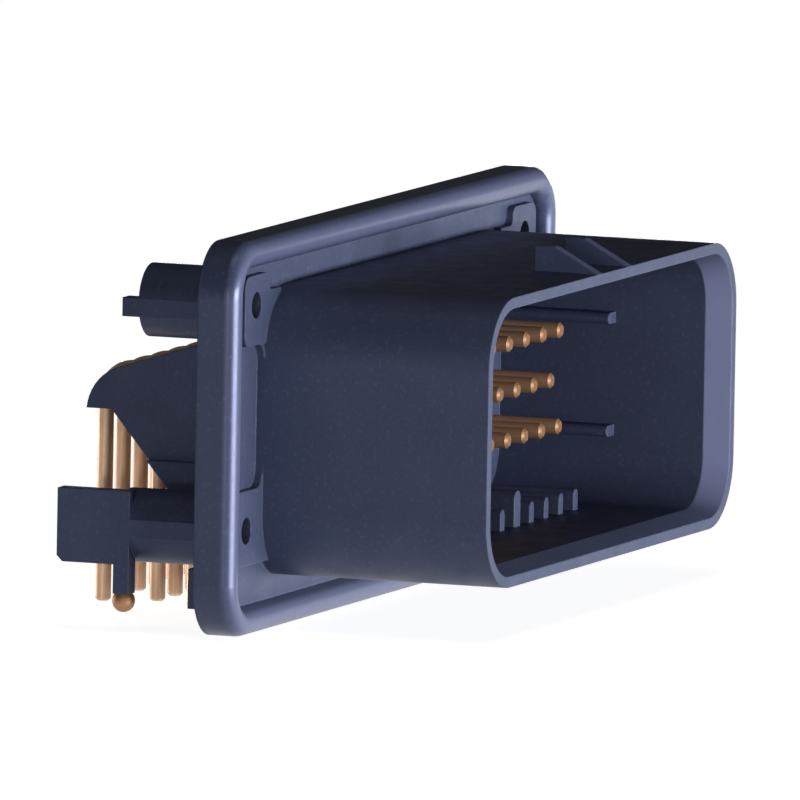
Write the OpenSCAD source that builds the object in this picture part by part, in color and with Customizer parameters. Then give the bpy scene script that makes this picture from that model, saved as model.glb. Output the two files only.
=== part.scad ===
// Right-angle board header: a flanged, shrouded socket with three rows of bent round contacts.
// Millimetres. The socket's mouth is the plane y = 0, its axis is z = 0, and the board lies below, behind.

/* [Shroud] */
// Outside width of the shroud
shroud_w = 58.4; // [54:0.1:66]
// Outside height of the shroud
shroud_h = 23.8; // [22:0.1:27]
// Radius of the shroud's outside corners
shroud_r = 5.6; // [3.5:0.1:6.5]
// Thickness of the shroud's wall
wall_t = 1.5; // [1.3:0.1:2]
// Depth of the socket, mouth to floor
socket_depth = 20.2; // [18:0.1:24]
// How far the lead-in bevel eats into the wall at the mouth
lead_w = 0.6; // [0.2:0.1:0.9]
// How far the lead-in bevel runs into the socket
lead_depth = 2.2; // [1:0.1:4]

/* [Latch ramps] */
// Distance between the two latch ramps' middles
ramp_gap = 7; // [4:0.1:14]
// Thickness of a ramp
ramp_t = 1; // [0.6:0.1:2]
// Height of a ramp above the shroud
ramp_h = 2.1; // [1:0.1:2.6]
// Length of a ramp's slope, from the mouth
ramp_slope = 3.9; // [2:0.1:6]
// Length of the flat behind the slope
ramp_flat = 1.7; // [0.8:0.1:3]

/* [Ribs in the socket] */
// Number of ribs along the socket's bottom
rib_count = 12; // [2:1:12]
// Which of them, counted from the left, is the tall keying rib
key_index = 8; // [1:1:12]
// Spacing of the bottom ribs
rib_pitch = 3.45; // [3:0.05:3.8]
// Width of a plain bottom rib
rib_w = 1; // [0.6:0.1:1.4]
// Height of a plain bottom rib
rib_h = 1.75; // [1:0.05:2.2]
// Width of the keying rib
key_w = 1.45; // [1:0.05:2]
// Height of the keying rib
key_h = 3; // [2.3:0.1:3.6]
// Depth of the bottom ribs' front ends behind the mouth
rib_front = 10.1; // [5:0.1:14]
// Distance of the side ribs above and below the middle row of contacts
side_rib_z = 4.7; // [3.5:0.1:5.5]
// Thickness of a side rib
side_rib_t = 0.95; // [0.6:0.05:1.4]
// How far a side rib stands out of the side wall
side_rib_out = 1.7; // [1:0.1:2.4]
// Depth of the side ribs' front ends behind the mouth
side_rib_front = 10.1; // [5:0.1:14]

/* [Flange] */
// Width of the flange beside the shroud
flange_side = 8.4; // [7.6:0.1:10]
// Height of the flange above the shroud
flange_over = 4.4; // [4.2:0.05:8]
// Height of the flange below the shroud
flange_under = 4.15; // [4:0.05:6]
// Radius of the flange's corners
flange_r = 4.4; // [3:0.05:5.5]
// Thickness of the flange's plate
flange_t = 2.05; // [1.8:0.05:4]
// Width of the round bead along the flange's edge
bead_w = 2.3; // [1.6:0.1:2.6]
// Height of the bead above the plate's front
bead_h = 1.35; // [1.2:0.05:2]

/* [Corner pads] */
// Height of a pad above the plate's front
pad_t = 0.65; // [0.3:0.05:1.1]
// From an upper screw hole up to its pad's top edge
pad_out = 2.5; // [2.3:0.05:2.8]
// From an upper screw hole up to its pad's lower step, next to the shroud
pad_step = 1; // [0.7:0.1:1.2]
// From a screw hole to its pad's edge nearest the middle of the flange's height
pad_in = 3.3; // [2.6:0.1:4]
// From a lower screw hole down to its pad's bottom edge
pad_low = 2.9; // [2.3:0.05:3.2]
// From a screw hole sideways to its pad's outer edge
pad_side = 2.6; // [2:0.05:2.8]
// From a screw hole sideways to the step
pad_run = 2.8; // [2.6:0.1:3.4]
// Radius of the pads' outer corners
pad_corner = 1; // [0.5:0.1:1.3]
// Radius of the pads' rounded steps and fillets
pad_r = 0.7; // [0.4:0.05:0.7]

/* [Screw barrels] */
// Diameter of the four screw holes
hole_d = 2.2; // [1.6:0.1:3]
// Diameter of a barrel
barrel_d = 6.05; // [5:0.05:6.2]
// Length of an upper barrel behind the flange
barrel_len = 6.45; // [4:0.05:9]
// Extra length of a lower barrel
lower_extra = 0.9; // [0.3:0.1:2]
// From the shroud's side out to an upper screw hole
upper_out = 2; // [1.6:0.1:2.4]
// From the shroud's top down to an upper screw hole
upper_drop = 1; // [0.7:0.05:1.3]
// From the shroud's side out to a lower screw hole
lower_out = 3.5; // [3.2:0.1:3.7]
// From the shroud's bottom up to a lower screw hole
lower_rise = 4.45; // [4:0.05:5]
// Thickness of the flat rib along each barrel
fin_t = 1.55; // [1:0.05:2]
// Width of that rib, in from the barrel's outer side
fin_w = 1.5; // [1:0.1:1.7]
// How far an upper barrel's rib runs past the barrel
fin_over = 1.4; // [0.4:0.1:2]
// How far an upper barrel's rib sits below the barrel's middle
fin_drop = 0.4; // [0:0.1:0.8]

/* [Feet and pegs] */
// Length of a foot behind its barrel's end
foot_reach = 5.3; // [3:0.1:7]
// Thickness of a foot
foot_t = 1.5; // [1.3:0.1:2]
// Bevel at a foot's lower rear corner
foot_bevel = 0.5; // [0.2:0.1:1]
// Width of a peg's leg, front to back
leg_w = 1.36; // [1.2:0.02:1.6]
// How far a peg's leg reaches past its barrel's end
leg_past = 0.35; // [0.1:0.05:0.8]
// Length of a peg's leg below the board face
leg_len = 2.4; // [2:0.05:3.5]
// Diameter of the ball tip on a peg
ball_d = 1.9; // [1.7:0.05:2.2]
// How much of the ball tip shows below the leg
ball_show = 1.55; // [1.2:0.05:1.65]
// Diameter of the tip's shank inside the leg
shank_d = 0.8; // [0.6:0.05:0.9]
// Length of the tip's shank
shank_len = 1.8; // [1:0.1:1.9]

/* [Contacts] */
// Diameter of a round contact
pin_d = 1.3; // [1:0.05:1.5]
// Spacing of the contacts along a row
pitch = 4; // [3.8:0.1:4.2]
// Spacing of the rows
row_gap = 4; // [3.6:0.1:4.4]
// Height of the middle row of contacts above the socket's axis
row_rise = 0.1; // [-0.5:0.1:0.5]
// Number of contacts in the top and bottom rows
wide_count = 12; // [4:1:12]
// Length of contact that stands in the socket
pin_show = 7.5; // [5:0.1:10]
// Radius of the right-angle bend, at the contact's middle
bend_r = 2.4; // [1.6:0.1:3]
// From the flange's back to the nearest row of tails
tail_near = 5.8; // [4.8:0.05:7]
// Length of a tail below the board face
tail_len = 4.7; // [3:0.05:6]
// Bevel on a contact's two ends
end_bevel = 0.2; // [0.1:0.05:0.4]

/* [Rear cheeks] */
// Thickness of a cheek
cheek_t = 1.4; // [1:0.1:2]
// Clear gap between a cheek and the end contacts
cheek_gap = 0.4; // [0.2:0.05:0.8]
// Height of a cheek where it leaves the flange
cheek_top = 8.2; // [7:0.05:9]
// Fall of a cheek's top edge
cheek_fall = 17.8; // [14:0.1:20]
// Radius of a cheek's rounded rear
cheek_r = 4; // [3:0.1:5]
// How far a cheek reaches past the last row of tails
cheek_past = 0.15; // [0.1:0.05:0.6]
// Length of the flat lip under the rounded rear
lip_len = 2.2; // [1.6:0.1:3]
// Height of the lip above the middle of the rounded rear
lip_rise = 0.3; // [0.1:0.1:0.8]
// Steepness of a cheek's underside
cheek_under = 50; // [46:1:54]
// Height of the lower, thicker part of a cheek above the board face
ledge_rise = 7.4; // [4:0.05:8]
// How much thicker that part is
ledge_out = 0.6; // [0.2:0.1:1]

/* [Board stop] */
// Depth of the bar that the board's edge meets
stop_depth = 1.2; // [0.8:0.1:2]
// From the flange's side to the bar's end
stop_inset = 2; // [1:0.1:4]
// From the flange's bottom up to the bar
stop_rise = 2.3; // [1.5:0.1:2.6]

/* [Hidden] */
$fn = 64;
eps = 0.01;
run_out = 1;
plastic = [0.17, 0.19, 0.28];
copper = [0.72, 0.5, 0.36];

// Planes along the depth, mouth to back
moat_y = socket_depth;
back_y = moat_y + flange_t;
tip_y = socket_depth - pin_show;
tail_row_y = [for (row = [0:2]) back_y + tail_near + (2 - row) * row_gap];

// Socket
inner_w = shroud_w - 2 * wall_t;
inner_h = shroud_h - 2 * wall_t;
inner_r = shroud_r - wall_t;

// Flange, whose middle lies a little above the socket's axis
flange_w = shroud_w + 2 * flange_side;
flange_h = shroud_h + flange_over + flange_under;
flange_z = (flange_over - flange_under) / 2;

// Screw holes
upper_x = shroud_w / 2 + upper_out;
upper_z = shroud_h / 2 - upper_drop;
lower_x = shroud_w / 2 + lower_out;
lower_z = -shroud_h / 2 + lower_rise;

// Board face, under the lower barrels and the feet
board_z = lower_z - barrel_d / 2;
tail_z = board_z - tail_len;
foot_x = lower_x + barrel_d / 2;
lower_end = back_y + barrel_len + lower_extra;
leg_y = lower_end + leg_past - leg_w / 2;
leg_z = board_z - leg_len;

// Cheeks
cheek_in = (wide_count - 1) / 2 * pitch + pin_d / 2 + cheek_gap;
cheek_out = cheek_in + cheek_t;
cheek_rear = tail_row_y[0] + pin_d / 2 + cheek_past;
round_y = cheek_rear - cheek_r;
touch_y = round_y + cheek_r * sin(cheek_fall);
touch_z = cheek_top - (touch_y - back_y) * tan(cheek_fall);
round_z = touch_z - cheek_r * cos(cheek_fall);
lip_z = round_z + lip_rise;
lip_y = cheek_rear - lip_len;
ledge_z = board_z + ledge_rise;

// Contact rows, top to bottom: the middle row has one fewer and sits between the others
ROWS = ["top", "middle", "bottom"];
function row_count(row) = row == 1 ? wide_count - 1 : wide_count;
function row_z(row) = row_rise + (1 - row) * row_gap;
function pin_x(row, i) = (i - (row_count(row) + 1) / 2) * pitch;
function pin_name(row, i) = str("contact_", ROWS[row], "_", i < 10 ? "0" : "", i);

SIDES = ["left", "right"];

// Where a cheek's slanting underside is at a height
function under_y(z) = lip_y - (lip_z - z) / tan(cheek_under);

// A flat shape in x and z, thickened from y0 to y1
module across(y0, y1) {
    translate([0, y1, 0]) rotate([90, 0, 0]) linear_extrude(y1 - y0) children();
}

// A flat shape in y and z, thickened from x0 to x1
module along(x0, x1) {
    translate([x0, 0, 0]) rotate([90, 0, 90]) linear_extrude(x1 - x0) children();
}

// A round bar that runs back from y0 to y1
module bar(x, z, d, y0, y1) {
    translate([x, y0, z]) rotate([-90, 0, 0]) cylinder(d = d, h = y1 - y0);
}

// The same shape on both sides
module both_sides() {
    children();
    mirror([1, 0, 0]) children();
}

// Rectangle with round corners
module rounded(w, h, r) {
    square([w, h - 2 * r], center = true);
    square([w - 2 * r, h], center = true);
    for (x = [-1, 1], z = [-1, 1]) translate([x * (w / 2 - r), z * (h / 2 - r)]) circle(r);
}

// What a fillet adds in an inside corner, or a rounded edge loses from an outside one
module fillet(r) {
    difference() {
        translate([-eps, -eps]) square(r + eps);
        translate([r, r]) circle(r);
    }
}

// Socket mouth that widens towards the front
module lead_in() {
    grow = lead_w / lead_depth;
    front = lead_w + grow * run_out;
    half_w = inner_w / 2;
    half_h = inner_h / 2;
    along(-half_w + inner_r, half_w - inner_r)
        polygon([
            [-run_out, -half_h - front], [lead_depth, -half_h],
            [lead_depth, half_h], [-run_out, half_h + front]
        ]);
    translate([0, 0, -half_h + inner_r]) linear_extrude(inner_h - 2 * inner_r)
        polygon([
            [-half_w - front, -run_out], [-half_w, lead_depth],
            [half_w, lead_depth], [half_w + front, -run_out]
        ]);
    for (x = [-1, 1], z = [-1, 1])
        translate([x * (half_w - inner_r), -run_out, z * (half_h - inner_r)])
            rotate([-90, 0, 0])
                cylinder(r1 = inner_r + front, r2 = inner_r, h = lead_depth + run_out);
}

// Rib with a round top along the socket's bottom
module bottom_rib(x, w, h) {
    floor_z = -inner_h / 2;
    translate([x - w / 2, rib_front, floor_z - wall_t / 2])
        cube([w, moat_y + eps - rib_front, h - w / 2 + wall_t / 2]);
    bar(x, floor_z + h - w / 2, w, rib_front, moat_y + eps);
}

// Rib with a round edge along the socket's right side
module side_rib(z) {
    edge_x = inner_w / 2 - side_rib_out + side_rib_t / 2;
    translate([edge_x, side_rib_front, z - side_rib_t / 2])
        cube([inner_w / 2 + wall_t / 2 - edge_x, moat_y + eps - side_rib_front, side_rib_t]);
    bar(edge_x, z, side_rib_t, side_rib_front, moat_y + eps);
}

// Wedge on top of the shroud that the plug's latch climbs
module latch_ramp(x) {
    top = shroud_h / 2;
    along(x - ramp_t / 2, x + ramp_t / 2)
        polygon([
            [0, top], [ramp_slope, top + ramp_h], [ramp_slope + ramp_flat, top + ramp_h],
            [ramp_slope + ramp_flat, top - wall_t / 2], [0, top - wall_t / 2]
        ]);
}

// Section of the flange's rim: the edge of the plate under a bead with a full round crown
module rim_section() {
    translate([0, bead_h - bead_w / 2]) circle(d = bead_w);
    translate([-bead_w / 2, -flange_t]) square([bead_w, bead_h - bead_w / 2 + flange_t]);
}

// The rim around the flange: four straight runs and four quarter turns
module rim() {
    mid_x = flange_w / 2 - bead_w / 2;
    mid_z = flange_h / 2 - bead_w / 2;
    turn_x = flange_w / 2 - flange_r;
    turn_z = flange_h / 2 - flange_r;
    for (side = [-1, 1]) {
        translate([0, moat_y, side * mid_z]) along(-turn_x, turn_x) rotate(90) rim_section();
        translate([side * mid_x, moat_y, -turn_z])
            linear_extrude(2 * turn_z) mirror([0, 1]) rim_section();
    }
    for (quarter = [0:3]) {
        x = quarter == 0 || quarter == 3 ? turn_x : -turn_x;
        z = quarter < 2 ? turn_z : -turn_z;
        translate([x, moat_y, z]) rotate([90, 0, 0]) rotate(quarter * 90)
            rotate_extrude(angle = 90) translate([flange_r - bead_w / 2, 0]) rim_section();
    }
}

// Raised pad around a right-hand screw hole, with a step where it ends lower beside the shroud
module pad_outline(hole_x, hole_z, up, end, step) {
    edge_x = hole_x + pad_side;
    step_x = hole_x - pad_run;
    translate([0, hole_z]) scale([1, up]) {
        difference() {
            translate([step_x, -pad_in]) square([edge_x - step_x, pad_in + end]);
            translate([edge_x, -pad_in]) mirror([1, 0]) fillet(pad_corner);
            translate([edge_x, end]) rotate(180) fillet(pad_corner);
            if (end > step) translate([step_x, end]) mirror([0, 1]) fillet(pad_r);
        }
        translate([step_x - pad_run, -pad_in]) square([pad_run + eps, pad_in + step]);
        if (end > step) translate([step_x, step]) mirror([1, 0]) fillet(pad_r);
        translate([shroud_w / 2, -pad_in]) mirror([0, 1]) fillet(2 * pad_r);
    }
}

// Screw barrel behind the flange, with its flat rib on the outer side
module barrel(x, z, length, fin_length, fin_z) {
    bar(x, z, barrel_d, back_y - eps, back_y + length);
    translate([x + barrel_d / 2 - fin_w, back_y - eps, fin_z - fin_t / 2])
        cube([fin_w, fin_length + eps, fin_t]);
}

// Foot beside a lower barrel, and the leg of its board peg
module foot() {
    rear = lower_end + foot_reach;
    front = leg_y - leg_w / 2;
    top = board_z + barrel_d;
    along(foot_x - foot_t, foot_x)
        polygon([
            [front, top], [rear, top], [rear, board_z + foot_bevel],
            [rear - foot_bevel, board_z], [front, board_z]
        ]);
    translate([foot_x - foot_t, front, leg_z]) cube([foot_t, leg_w, leg_len + eps]);
}

// Cheek at the right end of the contacts, with its thicker lower part
module cheek() {
    along(cheek_in, cheek_out) {
        polygon([
            [back_y - eps, cheek_top], [touch_y, touch_z], [round_y, round_z + lip_rise], [lip_y, lip_z],
            [under_y(board_z), board_z], [back_y - eps, board_z]
        ]);
        intersection() {
            translate([round_y, round_z]) circle(cheek_r);
            translate([round_y, lip_z]) square(2 * cheek_r);
        }
    }
    along(cheek_in, cheek_out + ledge_out)
        polygon([
            [back_y - eps, ledge_z], [under_y(ledge_z), ledge_z],
            [under_y(board_z), board_z], [back_y - eps, board_z]
        ]);
}

// Bar behind the flange that the board's edge meets
module board_stop() {
    reach = flange_w / 2 - stop_inset;
    low = flange_z - flange_h / 2 + stop_rise;
    translate([-reach, back_y - eps, low]) cube([2 * reach, stop_depth + eps, board_z - low]);
}

// The housing: shroud, flange, barrels, feet and cheeks moulded as one piece
module housing() {
    color(plastic) difference() {
        union() {
            difference() {
                across(0, back_y - eps) rounded(shroud_w, shroud_h, shroud_r);
                across(-run_out, moat_y) rounded(inner_w, inner_h, inner_r);
                lead_in();
            }
            across(moat_y, back_y) translate([0, flange_z])
                rounded(flange_w - bead_w, flange_h - bead_w, flange_r - bead_w / 2);
            translate([0, 0, flange_z]) rim();
            for (x = [-1, 1]) latch_ramp(x * ramp_gap / 2);
            for (i = [1:rib_count])
                bottom_rib(
                    (i - (rib_count + 1) / 2) * rib_pitch,
                    i == key_index ? key_w : rib_w,
                    i == key_index ? key_h : rib_h
                );
            both_sides() {
                for (z = [-1, 1]) side_rib(row_rise + z * side_rib_z);
                difference() {
                    across(moat_y - pad_t, moat_y + flange_t / 2) {
                        pad_outline(upper_x, upper_z, 1, pad_out, pad_step);
                        pad_outline(lower_x, lower_z, -1, pad_low, pad_low);
                    }
                    across(-run_out, moat_y) rounded(inner_w, inner_h, inner_r);
                }
                barrel(upper_x, upper_z, barrel_len, barrel_len + fin_over, upper_z - fin_drop);
                barrel(lower_x, lower_z, barrel_len + lower_extra, barrel_len + lower_extra, lower_z);
                foot();
                cheek();
            }
            board_stop();
        }
        both_sides() {
            bar(upper_x, upper_z, hole_d, -run_out, back_y + barrel_len + run_out);
            bar(lower_x, lower_z, hole_d, -run_out, lower_end + run_out);
            translate([foot_x - foot_t / 2, leg_y, leg_z - run_out])
                cylinder(d = shank_d, h = shank_len + run_out);
        }
        for (row = [0:2]) for (i = [1:row_count(row)])
            bar(pin_x(row, i), row_z(row), pin_d, moat_y - run_out, back_y + run_out);
    }
}

// Round-nosed metal tip on a board peg: a ball with a flat top, and a shank up the leg
module peg_tip(side) {
    color(copper) translate([side * (foot_x - foot_t / 2), leg_y, leg_z]) {
        difference() {
            translate([0, 0, ball_d / 2 - ball_show]) sphere(d = ball_d);
            translate([-ball_d, -ball_d, 0]) cube(2 * ball_d);
        }
        translate([0, 0, -eps]) cylinder(d = shank_d, h = shank_len + eps);
    }
}

// A straight run of contact wire whose far end is bevelled
module wire_end(length) {
    cylinder(d = pin_d, h = length - end_bevel);
    translate([0, 0, length - end_bevel])
        cylinder(d1 = pin_d, d2 = pin_d - 2 * end_bevel, h = end_bevel);
}

// One contact: run from the socket through its floor, bend, and tail through the board
module contact(row, i) {
    turn_y = tail_row_y[row] - bend_r;
    turn_z = row_z(row) - bend_r;
    color(copper) translate([pin_x(row, i), turn_y, turn_z]) {
        translate([0, 0, bend_r]) rotate([90, 0, 0]) wire_end(turn_y - tip_y);
        rotate([90, 0, 90]) rotate_extrude(angle = 90) translate([bend_r, 0]) circle(d = pin_d);
        translate([0, bend_r, 0]) rotate([180, 0, 0]) wire_end(turn_z - tail_z);
    }
}

housing();
peg_tip(-1);  // peg_tip_left
peg_tip(1);  // peg_tip_right
for (row = [0:2]) for (i = [1:row_count(row)])
    contact(row, i);
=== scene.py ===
# %% [markdown]
# # A right-angle board header
# A header like this carries every wire of a control unit through the wall of its box. A plug slides
# into the shroud, a flange with a round bead seals against the wall, and bent contacts run down to a
# circuit board behind. This lesson dresses the finished solids: it gives the moulded housing its
# plastic, draws the contacts again as smooth bent wire, and lights the lot as a studio would. First
# the solids are loaded, and the box round them is kept.

# %% Load the solids
import math
import bpy
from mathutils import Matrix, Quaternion, Vector


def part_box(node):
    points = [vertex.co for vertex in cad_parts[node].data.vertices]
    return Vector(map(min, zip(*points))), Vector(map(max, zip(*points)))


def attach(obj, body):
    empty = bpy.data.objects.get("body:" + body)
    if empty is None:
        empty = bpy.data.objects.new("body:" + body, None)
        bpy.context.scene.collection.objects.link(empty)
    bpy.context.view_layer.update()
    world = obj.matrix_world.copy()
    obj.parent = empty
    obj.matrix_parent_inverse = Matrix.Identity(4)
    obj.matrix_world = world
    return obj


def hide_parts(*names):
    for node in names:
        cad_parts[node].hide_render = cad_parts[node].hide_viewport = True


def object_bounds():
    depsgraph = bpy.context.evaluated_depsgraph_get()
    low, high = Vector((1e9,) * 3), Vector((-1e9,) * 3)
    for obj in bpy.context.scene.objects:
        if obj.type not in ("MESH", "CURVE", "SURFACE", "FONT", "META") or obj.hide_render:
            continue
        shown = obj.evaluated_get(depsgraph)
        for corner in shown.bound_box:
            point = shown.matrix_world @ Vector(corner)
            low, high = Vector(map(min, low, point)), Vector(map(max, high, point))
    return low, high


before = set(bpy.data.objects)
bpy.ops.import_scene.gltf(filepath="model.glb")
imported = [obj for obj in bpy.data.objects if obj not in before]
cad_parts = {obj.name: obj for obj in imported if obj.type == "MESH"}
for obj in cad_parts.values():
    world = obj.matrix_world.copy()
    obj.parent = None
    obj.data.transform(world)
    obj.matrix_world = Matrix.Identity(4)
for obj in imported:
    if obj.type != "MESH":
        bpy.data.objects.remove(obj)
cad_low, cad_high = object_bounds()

MM = 0.001
print("solids", len(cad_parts), "size in mm", [round(v / MM, 2) for v in cad_high - cad_low])

# %% [markdown]
# ## Camera
# The picture has no vanishing point: parallel edges stay parallel. An orthographic camera would do
# that too, but it keeps one fixed width when it moves to another side. A very long lens far away
# looks the same and still frames the part from anywhere, so that is what is used. Three angles place
# it: how far round, how high, and a slight roll.

# %% Place the camera
PHOTO_AZIMUTH, PHOTO_ELEVATION, PHOTO_ROLL = map(math.radians, (-69.45, 6.38, 1.04))
LENS_MM, SENSOR_MM = 1600.0, 36.0
VIEW_WIDTH = 65.65 * MM
LOOK_AT = Vector((-6.04, 16.38, 0.85)) * MM
CLIP_NEAR, CLIP_FAR = 0.1, 20.0


def put(name, data):
    """Makes an object of some data and links it into the scene."""
    made = bpy.data.objects.new(name, data)
    bpy.context.scene.collection.objects.link(made)
    return made


def towards(azimuth, elevation):
    """Unit vector from the part to a place at that azimuth and elevation."""
    flat = math.cos(elevation)
    return Vector((math.sin(azimuth) * flat, -math.cos(azimuth) * flat, math.sin(elevation)))


camera = put("camera", bpy.data.cameras.new("camera"))
camera.data.lens, camera.data.sensor_width = LENS_MM, SENSOR_MM
camera.data.clip_start, camera.data.clip_end = CLIP_NEAR, CLIP_FAR
distance = VIEW_WIDTH / SENSOR_MM * LENS_MM
back = towards(PHOTO_AZIMUTH, PHOTO_ELEVATION)
camera.rotation_mode = "QUATERNION"
camera.rotation_quaternion = back.to_track_quat("Z", "Y") @ Quaternion((0, 0, 1), PHOTO_ROLL)
camera.location = LOOK_AT + back * distance
bpy.context.scene.camera = camera
print("camera", round(distance, 3), "m away")

# %% [markdown]
# ## Building node trees in code
# Materials and Geometry Nodes are both trees of nodes. They could be drawn by hand in the editor, but
# a script gives the same tree each time and shows every number. One helper adds a node, sets its
# options, and fills its sockets with either a plain value or a link from an earlier node. Sockets are
# found by their identifier, because two sockets of one node can share a name.

# %% A helper for nodes
def find(sockets, identifier):
    """The socket with that identifier."""
    return next(socket for socket in sockets if socket.identifier == identifier)


def fill(tree, node, values):
    """Gives a node's inputs plain values, or links from other nodes."""
    for identifier, value in values.items():
        socket = find(node.inputs, identifier)
        if isinstance(value, bpy.types.NodeSocket):
            tree.links.new(value, socket)
        else:
            socket.default_value = value


def add(tree, kind, values=None, **options):
    """Adds a node, sets its options and fills its inputs."""
    made = tree.nodes.new(kind)
    for option, value in options.items():
        setattr(made, option, value)
    fill(tree, made, values or {})
    return made


print("node helpers ready")

# %% [markdown]
# A few nodes come up again and again: arithmetic, mixing, noise, and stretching a number from one
# span to another. Each gets a short function that returns the socket to link onwards, so that a
# material below reads like a recipe.

# %% Short names for common nodes
def calc(tree, operation, first, second=0.0):
    """One step of arithmetic on two numbers."""
    node = add(tree, "ShaderNodeMath", {"Value": first, "Value_001": second}, operation=operation)
    return node.outputs["Value"]


def axes(tree, vector):
    """The X, Y and Z of a vector."""
    return add(tree, "ShaderNodeSeparateXYZ", {"Vector": vector}).outputs


def blend_number(tree, share, first, second):
    """The first number where the share is 0, and the second where it is 1."""
    values = {"Factor_Float": share, "A_Float": first, "B_Float": second}
    return find(add(tree, "ShaderNodeMix", values, data_type="FLOAT").outputs, "Result_Float")


def blend_colour(tree, share, first, second):
    """The first colour where the share is 0, and the second where it is 1."""
    values = {"Factor_Float": share, "A_Color": first, "B_Color": second}
    return find(add(tree, "ShaderNodeMix", values, data_type="RGBA").outputs, "Result_Color")


def ramp(tree, value, span, result=(0, 1)):
    """Stretches a value from one span to another and stops at the ends."""
    values = {"Value": value, "From Min": span[0], "From Max": span[1],
              "To Min": result[0], "To Max": result[1]}
    return add(tree, "ShaderNodeMapRange", values).outputs["Result"]


def noise(tree, vector, waves, detail):
    """Soft noise, with its waves counted per metre."""
    values = {"Vector": vector, "Scale": waves, "Detail": detail}
    return add(tree, "ShaderNodeTexNoise", values).outputs["Fac"]


print("short names ready")

# %% [markdown]
# ## Where the plastic differs
# Two places on the housing are unlike the rest. The side walls of the mouth's widening are painted
# paler, a painted highlight. The bead round the flange is moulded in polished steel, so that it seals,
# and its forward-facing crown is painted paler too, another painted highlight. The faces could be
# picked out and given materials of their own, but the solids are meshes of loose triangles, and a
# picked edge would be ragged. A mask is neater: a number that is 1 in that place and 0 elsewhere,
# from where a point lies and which way it faces.

# %% Masks for the mouth and the bead
LEAD_IN_DEPTH, LEAD_IN_FADE = 2.2 * MM, 0.1 * MM
INWARD_SPAN = (-6 * MM, -24 * MM)
BEAD_WIDTH, BEAD_FADE = 2.3 * MM, 0.2 * MM
FLANGE_FRONT = 20.2 * MM
BEAD_END = (FLANGE_FRONT + 1.6 * MM, FLANGE_FRONT + 2 * MM)
# How far the bead's forward-facing crown is painted paler, as a painted highlight.
CROWN_SPAN, CROWN_HIGHLIGHT_SHARE = (-0.6, -0.95), (0, 0.4)


def lead_in_highlight_mask(tree, at, facing):
    """The side walls of the mouth's widening, which face the middle, where a highlight is painted."""
    near = ramp(tree, at["Y"], (LEAD_IN_DEPTH, LEAD_IN_DEPTH - LEAD_IN_FADE))
    outward = calc(tree, "MULTIPLY", at["X"], facing["X"])
    return calc(tree, "MULTIPLY", near, ramp(tree, outward, INWARD_SPAN))


def beyond(tree, axis, middle, half):
    """How far a point lies outside the bead's inner edge along one axis."""
    out = calc(tree, "ABSOLUTE", calc(tree, "SUBTRACT", axis, middle))
    return calc(tree, "SUBTRACT", out, half - BEAD_WIDTH)


def bead_mask(tree, at):
    """The bead round the flange, back to where its outer side is straight."""
    middle, half = (cad_low + cad_high) / 2, (cad_high - cad_low) / 2
    sideways = beyond(tree, at["X"], middle[0], half[0])
    upright = beyond(tree, at["Z"], middle[2], half[2])
    rim = ramp(tree, calc(tree, "MAXIMUM", sideways, upright), (-BEAD_FADE, 0))
    return calc(tree, "MULTIPLY", rim, ramp(tree, at["Y"], BEAD_END, (1, 0)))


def crown_highlight_mask(tree, bead, facing):
    """The crown of the bead, which faces forward, where a highlight is painted paler."""
    return calc(tree, "MULTIPLY", bead, ramp(tree, facing["Y"], CROWN_SPAN, CROWN_HIGHLIGHT_SHARE))


print("bead", round(BEAD_WIDTH / MM, 2), "mm wide, lead-in", round(LEAD_IN_DEPTH / MM, 2), "mm deep")

# %% [markdown]
# ## Colour of the plastic
# The housing is one injection moulding in a dark slate-blue engineering plastic, filled with short
# glass fibres. Its colour is slightly cloudy, with a pale fleck where a fibre shows. A flat colour
# would look like a drawing, so noise mixes two near shades, and one paler shade is laid over them by
# four shares: the flecks, wear, and a painted highlight on the mouth's side walls and on the bead's
# crown. A Bevel node finds the edges for wear: where its normal turns away from the face's own, hands
# have rubbed the plastic, in patches.

# %% Slate blue, cloudy, worn, with painted highlights
SLATE, SLATE_PALE = (0.040, 0.050, 0.092, 1), (0.046, 0.057, 0.102, 1)
# One paler shade, used for flecks and wear and as the painted highlight on the lead-in and crown.
SLATE_WORN_AND_HIGHLIT = (0.140, 0.152, 0.260, 1)
MOST_NOISE = (0.3, 0.7)
CLOUD_WAVES = 130
FLECK_WAVES, FLECK_PEAKS, FLECK_SHARE = 2600, (0.56, 0.72), (0, 0.2)
SCUFF_WAVES, SCUFF_PEAKS, SCUFF_SHARE = 700, (0.42, 0.62), (0.05, 0.3)
WEAR_RADIUS, BEVEL_SAMPLES = 0.22 * MM, 6
EDGE_TURN = (0.99, 0.8)


def edge_wear(tree, place, normal):
    """Patches along the edges, where hands rub them."""
    wide = add(tree, "ShaderNodeBevel", {"Radius": WEAR_RADIUS}, samples=BEVEL_SAMPLES)
    pair = {"Vector": wide.outputs["Normal"], "Vector_001": normal}
    turn = add(tree, "ShaderNodeVectorMath", pair, operation="DOT_PRODUCT").outputs["Value"]
    scuff = ramp(tree, noise(tree, place, SCUFF_WAVES, detail=3), SCUFF_PEAKS, SCUFF_SHARE)
    return calc(tree, "MULTIPLY", ramp(tree, turn, EDGE_TURN), scuff)


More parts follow.
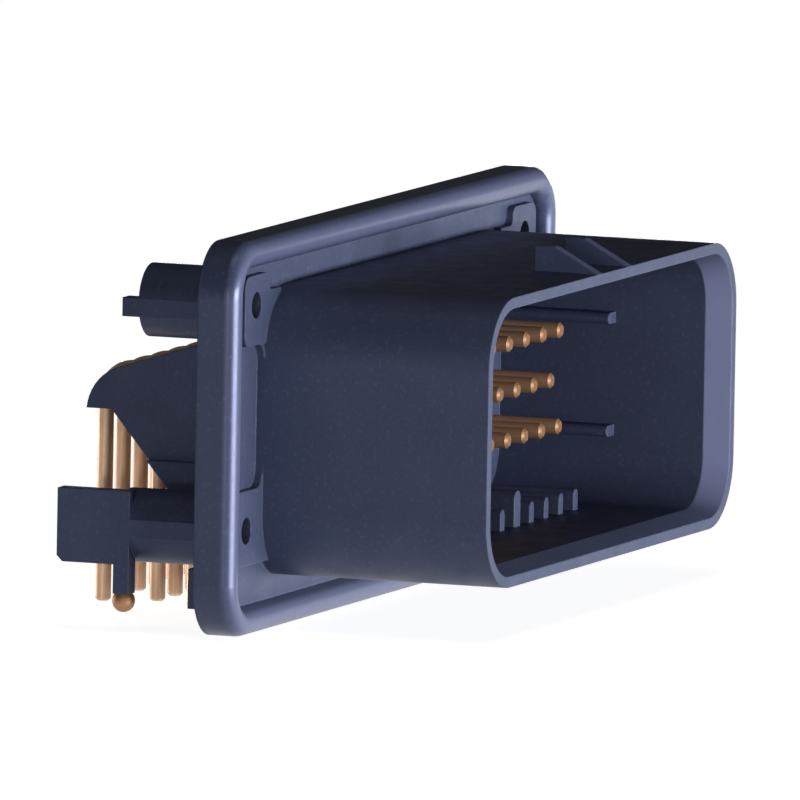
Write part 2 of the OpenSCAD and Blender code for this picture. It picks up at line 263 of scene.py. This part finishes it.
def slate_colour(tree, place, normal, bead):
    """Cloudy slate, paler with flecks and wear, and with a painted highlight in the mouth and on the
    crown.
    """
    at, facing = axes(tree, place), axes(tree, normal)
    cloud = ramp(tree, noise(tree, place, CLOUD_WAVES, detail=4), MOST_NOISE)
    fleck = ramp(tree, noise(tree, place, FLECK_WAVES, detail=2), FLECK_PEAKS, FLECK_SHARE)
    colour = blend_colour(tree, cloud, SLATE, SLATE_PALE)
    # Flecks and edge wear are the plastic's own; the lead-in and crown shares paint a highlight.
    for share in (fleck, lead_in_highlight_mask(tree, at, facing), crown_highlight_mask(tree, bead, facing),
                  edge_wear(tree, place, normal)):
        colour = blend_colour(tree, share, colour, SLATE_WORN_AND_HIGHLIT)
    return colour


print("clouds in the slate of about", round(1 / CLOUD_WAVES / MM, 1), "mm")

# %% [markdown]
# ## A finish to start from
# Every finish on this part starts from the Principled shader, which covers plastic and metal alike. A
# solid arrives with one plain colour, and its finish takes that colour's place.

# %% Helpers for finishes
def new_material(name):
    """An empty material with a Principled shader wired to its output."""
    material = bpy.data.materials.new(name)
    material.use_nodes = True
    tree = material.node_tree
    tree.nodes.clear()
    shader = add(tree, "ShaderNodeBsdfPrincipled")
    add(tree, "ShaderNodeOutputMaterial", {"Surface": shader.outputs["BSDF"]})
    return material, tree, shader


def dress(node, finish):
    """Gives a solid its finish in place of the plain one it came with."""
    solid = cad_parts[node]
    solid.data.materials.clear()
    solid.data.materials.append(finish)
    print(node, "in", finish.name, len(solid.data.polygons), "faces")


print("finishes go on", len(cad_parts), "solids or on what stands for them")

# %% [markdown]
# ## Surface of the plastic
# A moulding copies the steel of its mould: here a fine dull grain all over, and a smoother bead. The
# grain is far too small to model, so it is a bump. The solids' edges are perfectly sharp, which no
# moulding has. Rounding every one in the mesh could tear it, so a Bevel node rounds them in the
# shading, and they catch the light as moulded edges do.

# %% Dull plastic with a smooth bead
SLATE_SHEEN, SHEEN_LEVEL = (0.58, 0.64, 1.0, 1), 0.6
DULL_WAVES, DULL = 420, (0.44, 0.56)
SMOOTH_WAVES, SMOOTH = 900, (0.31, 0.36)
GRAIN_WAVES, GRAIN_STRENGTH, GRAIN_DEPTH = 5200, 0.1, 0.02 * MM
EDGE_RADIUS = 0.16 * MM


def slate_plastic():
    """The housing's plastic, dull all over and smoother on the bead."""
    material, tree, shader = new_material("slate_plastic")
    place = add(tree, "ShaderNodeTexCoord").outputs["Object"]
    normal = add(tree, "ShaderNodeNewGeometry").outputs["Normal"]
    bead = bead_mask(tree, axes(tree, place))
    dull = ramp(tree, noise(tree, place, DULL_WAVES, detail=4), MOST_NOISE, DULL)
    smooth = ramp(tree, noise(tree, place, SMOOTH_WAVES, detail=3), MOST_NOISE, SMOOTH)
    rounded = add(tree, "ShaderNodeBevel", {"Radius": EDGE_RADIUS}, samples=BEVEL_SAMPLES)
    grain = add(tree, "ShaderNodeBump", {
        "Strength": GRAIN_STRENGTH, "Distance": GRAIN_DEPTH, "Normal": rounded.outputs["Normal"],
        "Height": noise(tree, place, GRAIN_WAVES, detail=3)})
    fill(tree, shader, {
        "Base Color": slate_colour(tree, place, normal, bead),
        "Roughness": blend_number(tree, bead, dull, smooth),
        "Specular IOR Level": SHEEN_LEVEL, "Specular Tint": SLATE_SHEEN,
        "Normal": grain.outputs["Normal"]})
    return material


dress("housing", slate_plastic())

# %% [markdown]
# ## Copper alloy
# The contacts and the tips of the board pegs are both of a copper alloy. Handling leaves a darker
# film on it in patches, and the tool that shaped it leaves fine marks. A plain metal shader would give
# a clean mirror. So the film darkens the colour and takes some of the metal's shine, and the marks
# vary colour, roughness and bump together, because on the real thing they are one scratch.

# %% What drawn and turned copper share
COPPER_FILM = (0.290, 0.145, 0.070, 1)
FILM_WAVES, FILM_PEAKS, FILM_LEVEL = 260, (0.32, 0.68), (0.25, 0.85)
FILM_TINT = (0, 0.4)
CLEAN_METAL = (1.0, 0.72)
WHOLE = (0, 1)
MARK_PEAKS, MARK_TINT = (0.36, 0.68), (0, 0.4)
MARK_ROUGHNESS = (0.46, 0.62)
MARK_STRENGTH, MARK_DEPTH = 0.2, 0.01 * MM


def film_patches(tree):
    """How much film lies on the metal, from 0 to 1."""
    place = add(tree, "ShaderNodeTexCoord").outputs["Object"]
    return ramp(tree, noise(tree, place, FILM_WAVES, detail=3), FILM_PEAKS, FILM_LEVEL)


def finish_copper(tree, shader, bare, metal, film, mark):
    """Lays film and tool marks over the bare colour."""
    filmed = blend_colour(tree, ramp(tree, film, WHOLE, FILM_TINT), bare, COPPER_FILM)
    relief = add(tree, "ShaderNodeBump", {
        "Strength": MARK_STRENGTH, "Distance": MARK_DEPTH, "Height": mark})
    fill(tree, shader, {
        "Base Color": blend_colour(tree, ramp(tree, mark, MARK_PEAKS, MARK_TINT), filmed, COPPER_FILM),
        "Metallic": metal,
        "Roughness": ramp(tree, mark, MOST_NOISE, MARK_ROUGHNESS),
        "Normal": relief.outputs["Normal"]})


print("copper film in patches of about", round(1 / FILM_WAVES / MM, 1), "mm")

# %% [markdown]
# The tips of the pegs are turned on a lathe, so their marks are rings round the upright axis. Noise
# that is squeezed to almost nothing across that axis gives such rings.

# %% Turned copper for the peg tips
COPPER_TURNED = (0.460, 0.265, 0.140, 1)
RING_WAVES, RING_SQUEEZE = 6000, (0.05, 0.05, 1.0)


def turned_copper():
    """Copper with turning marks."""
    material, tree, shader = new_material("turned_copper_alloy")
    place = add(tree, "ShaderNodeTexCoord").outputs["Object"]
    rings = add(tree, "ShaderNodeMapping", {"Vector": place, "Scale": RING_SQUEEZE})
    mark = noise(tree, rings.outputs["Vector"], RING_WAVES, detail=2)
    film = film_patches(tree)
    metal = ramp(tree, film, WHOLE, CLEAN_METAL)
    finish_copper(tree, shader, COPPER_TURNED, metal, film, mark)
    return material


tip_copper = turned_copper()
for side in ("left", "right"):
    dress("peg_tip_" + side, tip_copper)

# %% [markdown]
# The contacts are drawn wire, and drawing leaves streaks along it. Noise in the part's own axes
# couldn't follow the bend, so the wire will carry two numbers on its points, how far along it and how
# far round it they lie, and the noise is stretched in those. The first of the two also tells the
# finishes apart: a darker cut end, a warm and slightly dull length in the socket, and paler tails,
# which are tinned for the solder.

# %% Drawn copper for the contacts
COPPER, COPPER_CUT = (0.680, 0.400, 0.220, 1), (0.260, 0.145, 0.080, 1)
TINNED, TINNED_SPAN = (0.860, 0.600, 0.410, 1), (12 * MM, 20 * MM)
END_BEVEL, CUT_FADE = 0.2 * MM, 0.05 * MM
STREAKS_ALONG, STREAKS_ROUND = 50.0, 20.0
SOCKET_METAL = (0.62, 0.42)


def drawn_copper():
    """Copper with streaks along the wire, paler on the tails and darker at the cut end."""
    material, tree, shader = new_material("drawn_copper_alloy")
    along = add(tree, "ShaderNodeAttribute", attribute_name="along").outputs["Fac"]
    around = add(tree, "ShaderNodeAttribute", attribute_name="around").outputs["Fac"]
    unrolled = add(tree, "ShaderNodeCombineXYZ", {
        "X": calc(tree, "MULTIPLY", along, STREAKS_ALONG),
        "Y": calc(tree, "MULTIPLY", around, STREAKS_ROUND)})
    mark = noise(tree, unrolled.outputs["Vector"], 1.0, detail=3)
    film = film_patches(tree)
    tail = ramp(tree, along, TINNED_SPAN)
    cut = ramp(tree, along, (END_BEVEL, END_BEVEL + CUT_FADE), (1, 0))
    bare = blend_colour(tree, cut, blend_colour(tree, tail, COPPER, TINNED), COPPER_CUT)
    metal = blend_number(tree, tail, ramp(tree, film, WHOLE, SOCKET_METAL),
                         ramp(tree, film, WHOLE, CLEAN_METAL))
    finish_copper(tree, shader, bare, metal, film, mark)
    return material


wire_copper = drawn_copper()
print("contacts will be in", wire_copper.name)

# %% [markdown]
# ## The path of one contact
# Every contact is the same length of wire with one bend, and a row repeats it at an even spacing.
# That is a rule, so Geometry Nodes makes it, and its sizes stay inputs with names. First comes the
# path. A line is cut into five points, each is sent to its place by its number, and the middle one,
# the corner, is rounded by a fillet. The second point and the fourth lie a bevel's length from the
# ends, where the wire will start to narrow.

# %% A tree for the path
BEND_STEPS = 14
BEND_POINT = 2


def contact_path(tree, given):
    """From the tip in the socket, back along the row, round the bend and down the tail."""
    height, depth = given["Row height"], given["Tail depth"]
    corners = (
        (given["Tip depth"], height),
        (calc(tree, "ADD", given["Tip depth"], given["End bevel"]), height),
        (depth, height),
        (depth, calc(tree, "ADD", given["Tail end"], given["End bevel"])),
        (depth, given["Tail end"]),
    )
    index = add(tree, "GeometryNodeInputIndex").outputs["Index"]
    choose = add(tree, "GeometryNodeIndexSwitch", {"Index": index}, data_type="VECTOR")
    while len(choose.index_switch_items) < len(corners):
        choose.index_switch_items.new()
    for number, (y, z) in enumerate(corners, start=1):
        corner = add(tree, "ShaderNodeCombineXYZ", {"Y": y, "Z": z})
        tree.links.new(corner.outputs["Vector"], choose.inputs[number])
    line = add(tree, "GeometryNodeCurvePrimitiveLine").outputs["Curve"]
    line = add(tree, "GeometryNodeResampleCurve", {"Curve": line, "Count": len(corners)})
    path = add(tree, "GeometryNodeSetPosition", {
        "Geometry": line.outputs["Curve"], "Position": choose.outputs["Output"]})
    at_bend = add(tree, "FunctionNodeCompare", {"A_INT": index, "B_INT": BEND_POINT},
                  data_type="INT", operation="EQUAL").outputs["Result"]
    bent = add(tree, "GeometryNodeFilletCurve", {
        "Curve": path.outputs["Geometry"], "Radius": given["Bend radius"],
        "Count": calc(tree, "MULTIPLY", at_bend, float(BEND_STEPS))}, mode="POLY")
    return bent.outputs["Curve"]


print("bend in", BEND_STEPS, "steps")

# %% [markdown]
# ## The wire round the path
# A circle swept along the path gives the wire. A curve with a bevel depth would do that as well, but
# here the sweep can narrow at the two ends, which gives each cut end its bevel, and both curves can
# carry numbers over to the mesh. Those are the two that the streaks in the copper follow.

# %% A tree for the wire
WIRE_SIDES = 28


def note(tree, curve, name, value):
    """Stores a number on each point under a name that a material can read."""
    values = {"Geometry": curve, "Name": name, "Value": value}
    return add(tree, "GeometryNodeStoreNamedAttribute", values).outputs["Geometry"]


def contact_wire(tree, given, path):
    """Sweeps a circle along the path, smaller at both ends."""
    length = add(tree, "GeometryNodeSplineParameter").outputs
    ring = add(tree, "GeometryNodeCurvePrimitiveCircle", {
        "Resolution": WIRE_SIDES, "Radius": given["Wire radius"]}).outputs["Curve"]
    at_end = add(tree, "GeometryNodeCurveEndpointSelection").outputs["Selection"]
    share = calc(tree, "DIVIDE", given["End bevel"], given["Wire radius"])
    wire = add(tree, "GeometryNodeCurveToMesh", {
        "Curve": note(tree, path, "along", length["Length"]),
        "Profile Curve": note(tree, ring, "around", length["Factor"]),
        "Scale": calc(tree, "SUBTRACT", 1.0, calc(tree, "MULTIPLY", at_end, share)),
        "Fill Caps": True})
    return wire.outputs["Mesh"]


print("wire with", WIRE_SIDES, "sides")

# %% [markdown]
# ## A row of contacts
# The wire is set on each point of a line of points. These copies are instances, which share one mesh
# and don't travel with the finished part, so the tree ends by making them real and giving them their
# material.

# %% A tree for the row
ROW_SIZES = ("Wire radius", "End bevel", "Bend radius", "Tip depth", "Row height", "Tail depth",
             "Tail end", "First", "Spacing")


def row_tree(material):
    """The whole tree, from its named inputs to a row of real wires."""
    tree = bpy.data.node_groups.new("contact_row", "GeometryNodeTree")
    for name in ROW_SIZES:
        tree.interface.new_socket(name, in_out="INPUT", socket_type="NodeSocketFloat")
    tree.interface.new_socket("Count", in_out="INPUT", socket_type="NodeSocketInt")
    made = tree.interface.new_socket("Row", in_out="OUTPUT", socket_type="NodeSocketGeometry")
    given = add(tree, "NodeGroupInput").outputs
    wire = contact_wire(tree, given, contact_path(tree, given))
    start = add(tree, "ShaderNodeCombineXYZ", {"X": given["First"]}).outputs["Vector"]
    offset = add(tree, "ShaderNodeCombineXYZ", {"X": given["Spacing"]}).outputs["Vector"]
    places = add(tree, "GeometryNodeMeshLine", {
        "Count": given["Count"], "Start Location": start, "Offset": offset}).outputs["Mesh"]
    copies = add(tree, "GeometryNodeInstanceOnPoints", {"Points": places, "Instance": wire})
    real = add(tree, "GeometryNodeRealizeInstances", {"Geometry": copies.outputs["Instances"]})
    row = add(tree, "GeometryNodeSetMaterial", {
        "Geometry": real.outputs["Geometry"], "Material": material}).outputs["Geometry"]
    add(tree, "NodeGroupOutput", {made.identifier: row})
    return tree


contact_row = row_tree(wire_copper)
print("row tree", len(contact_row.nodes), "nodes")

# %% [markdown]
# ## Three rows
# Three rows use the same tree with other numbers. The first and last solid of a row say where it
# starts, how far apart its contacts are, how high it lies and where its tails come down. The result
# is turned into a plain mesh, because a modifier doesn't travel with the finished part either. Its
# faces are shaded smooth, and only the sharp turn at each cut end stays an edge.

# %% Set the three rows
BEND_RADIUS = 2.4 * MM
SHARP_FROM = math.radians(30)


def row_sizes(names):
    """The tree's inputs for one row, read from its solids' boxes."""
    low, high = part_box(names[0])
    last_low, last_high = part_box(names[-1])
    radius = (high[0] - low[0]) / 2
    first = (low[0] + high[0]) / 2
    last = (last_low[0] + last_high[0]) / 2
    return {
        "Wire radius": radius, "End bevel": END_BEVEL, "Bend radius": BEND_RADIUS,
        "Tip depth": low[1], "Row height": high[2] - radius, "Tail depth": high[1] - radius,
        "Tail end": low[2], "First": first, "Spacing": (last - first) / (len(names) - 1),
        "Count": len(names),
    }


def row_mesh(names):
    """Runs the tree once on an empty object and keeps the mesh it gives."""
    maker = put("maker", bpy.data.meshes.new("maker"))
    modifier = maker.modifiers.new("row", "NODES")
    modifier.node_group = contact_row
    for name, value in row_sizes(names).items():
        modifier[contact_row.interface.items_tree[name].identifier] = value
    graph = bpy.context.evaluated_depsgraph_get()
    mesh = bpy.data.meshes.new_from_object(maker.evaluated_get(graph), depsgraph=graph)
    bpy.data.objects.remove(maker)
    mesh.shade_smooth()
    mesh.set_sharp_from_angle(angle=SHARP_FROM)
    return mesh


for row in ("top", "middle", "bottom"):
    names = sorted(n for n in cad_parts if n.startswith("contact_" + row))
    piece = put("contacts_" + row + "_row", row_mesh(names))
    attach(piece, "root")
    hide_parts(*names)
    print(piece.name, len(names), "contacts", len(piece.data.polygons), "faces")

# %% [markdown]
# ## Floor
# The part lies on a plain pale floor that melts into a white room. A real paper sweep would be lit
# much brighter than the part to come out white, and its light would spill onto the part. Here the
# Light Path node tells apart the rays that come from the eye, or by way of a mirror or a clear body.
# Only for those does the floor add a glow of its own. It still looks white and takes the part's
# shadow, and it lights the part as any pale floor would.

# %% Lay the floor
FLOOR_GAP = 0.05 * MM
FLOOR_HALF = 6.0
FLOOR_COLOUR, FLOOR_GLOW = (0.85, 0.85, 0.85, 1), 0.9
WHITE = (1, 1, 1, 1)


def seen_directly(tree):
    """1 where a ray comes from the eye, a mirror or a clear body, and 0 for light that bounces."""
    path = add(tree, "ShaderNodeLightPath").outputs
    eye_or_mirror = calc(tree, "MAXIMUM", path["Is Camera Ray"], path["Is Glossy Ray"])
    return calc(tree, "MAXIMUM", eye_or_mirror, path["Is Transmission Ray"])


def pale_floor():
    """Matt and pale, with a glow that only the eye sees."""
    material = bpy.data.materials.new("pale_floor")
    material.use_nodes = True
    tree = material.node_tree
    tree.nodes.clear()
    matt = add(tree, "ShaderNodeBsdfDiffuse", {"Color": FLOOR_COLOUR}).outputs["BSDF"]
    glow = add(tree, "ShaderNodeEmission", {"Color": WHITE, "Strength": FLOOR_GLOW})
    lit = add(tree, "ShaderNodeAddShader", {"Shader": matt, "Shader_001": glow.outputs["Emission"]})
    either = add(tree, "ShaderNodeMixShader", {
        "Fac": seen_directly(tree), "Shader": matt, "Shader_001": lit.outputs["Shader"]})
    add(tree, "ShaderNodeOutputMaterial", {"Surface": either.outputs["Shader"]})
    return material


floor_z = cad_low[2] - FLOOR_GAP
corners = [(-FLOOR_HALF, -FLOOR_HALF), (FLOOR_HALF, -FLOOR_HALF),
           (FLOOR_HALF, FLOOR_HALF), (-FLOOR_HALF, FLOOR_HALF)]
floor_mesh = bpy.data.meshes.new("floor")
floor_mesh.from_pydata([(x, y, floor_z) for x, y in corners], [], [(0, 1, 2, 3)])
floor_mesh.materials.append(pale_floor())
floor = put("floor", floor_mesh)
print("floor at", round(floor_z / MM, 2), "mm")

# %% [markdown]
# ## Room
# The room behind the floor follows the same idea. It is nearly dark, so that the lamps alone shape the
# part, but to the eye it is white up to just above the horizon, where the floor ends.

# %% Set the room
ROOM_LEVEL = 0.035
HORIZON, HORIZON_FADE = 0.016, 0.01


def white_room():
    """A dark room with a white horizon that only the eye sees."""
    world = bpy.data.worlds.new("room")
    world.use_nodes = True
    tree = world.node_tree
    tree.nodes.clear()
    heading = add(tree, "ShaderNodeTexCoord").outputs["Generated"]
    low = ramp(tree, axes(tree, heading)["Z"], (HORIZON, HORIZON + HORIZON_FADE), (1, 0))
    shown = calc(tree, "MULTIPLY", low, seen_directly(tree))
    level = ramp(tree, shown, WHOLE, (ROOM_LEVEL, 1))
    sky = add(tree, "ShaderNodeBackground", {"Color": WHITE, "Strength": level})
    add(tree, "ShaderNodeOutputWorld", {"Surface": sky.outputs["Background"]})
    return world


bpy.context.scene.world = white_room()
bpy.context.scene.view_settings.view_transform = "Standard"
print("room at", ROOM_LEVEL, "of white")

# %% [markdown]
# ## Lamps
# In the picture, faces that look forward are pale and faces that look up are almost black. A lamp
# overhead would turn that round. So the main light is a long thin strip in front, lower than the
# shroud's top: it draws a bright line down the bead and only grazes what faces up. A weak lamp on the
# left fills the side that the picture shows. Two more low strips, to the right and behind, do the
# same for the other sides, and a faint lamp overhead keeps the top from going quite black.

# %% Hang the lamps
LAMPS = (
    # name, azimuth and elevation in degrees, metres away, width and height in metres, watts
    ("front_box", -6, -0.16, 1.2, 0.8, 0.025, 26),
    ("left_box", -78, 2, 1.2, 0.3, 0.07, 1.8),
    ("top_box", -60, 80, 1.2, 0.5, 0.5, 1.3),
    ("right_box", 105, -0.16, 1.2, 0.4, 0.025, 4),
    ("back_box", 165, 0, 1.4, 0.5, 0.03, 6),
)


def soft_box(name, azimuth, elevation, away, width, height, power):
    """A rectangular lamp that faces the part."""
    lamp = bpy.data.lights.new(name, "AREA")
    lamp.shape = "RECTANGLE"
    lamp.size, lamp.size_y, lamp.energy = width, height, power
    out = towards(math.radians(azimuth), math.radians(elevation))
    holder = put(name, lamp)
    holder.location = LOOK_AT + out * away
    holder.rotation_euler = out.to_track_quat("Z", "Y").to_euler()
    print(name, power, "W")


for lamp_sizes in LAMPS:
    soft_box(*lamp_sizes)
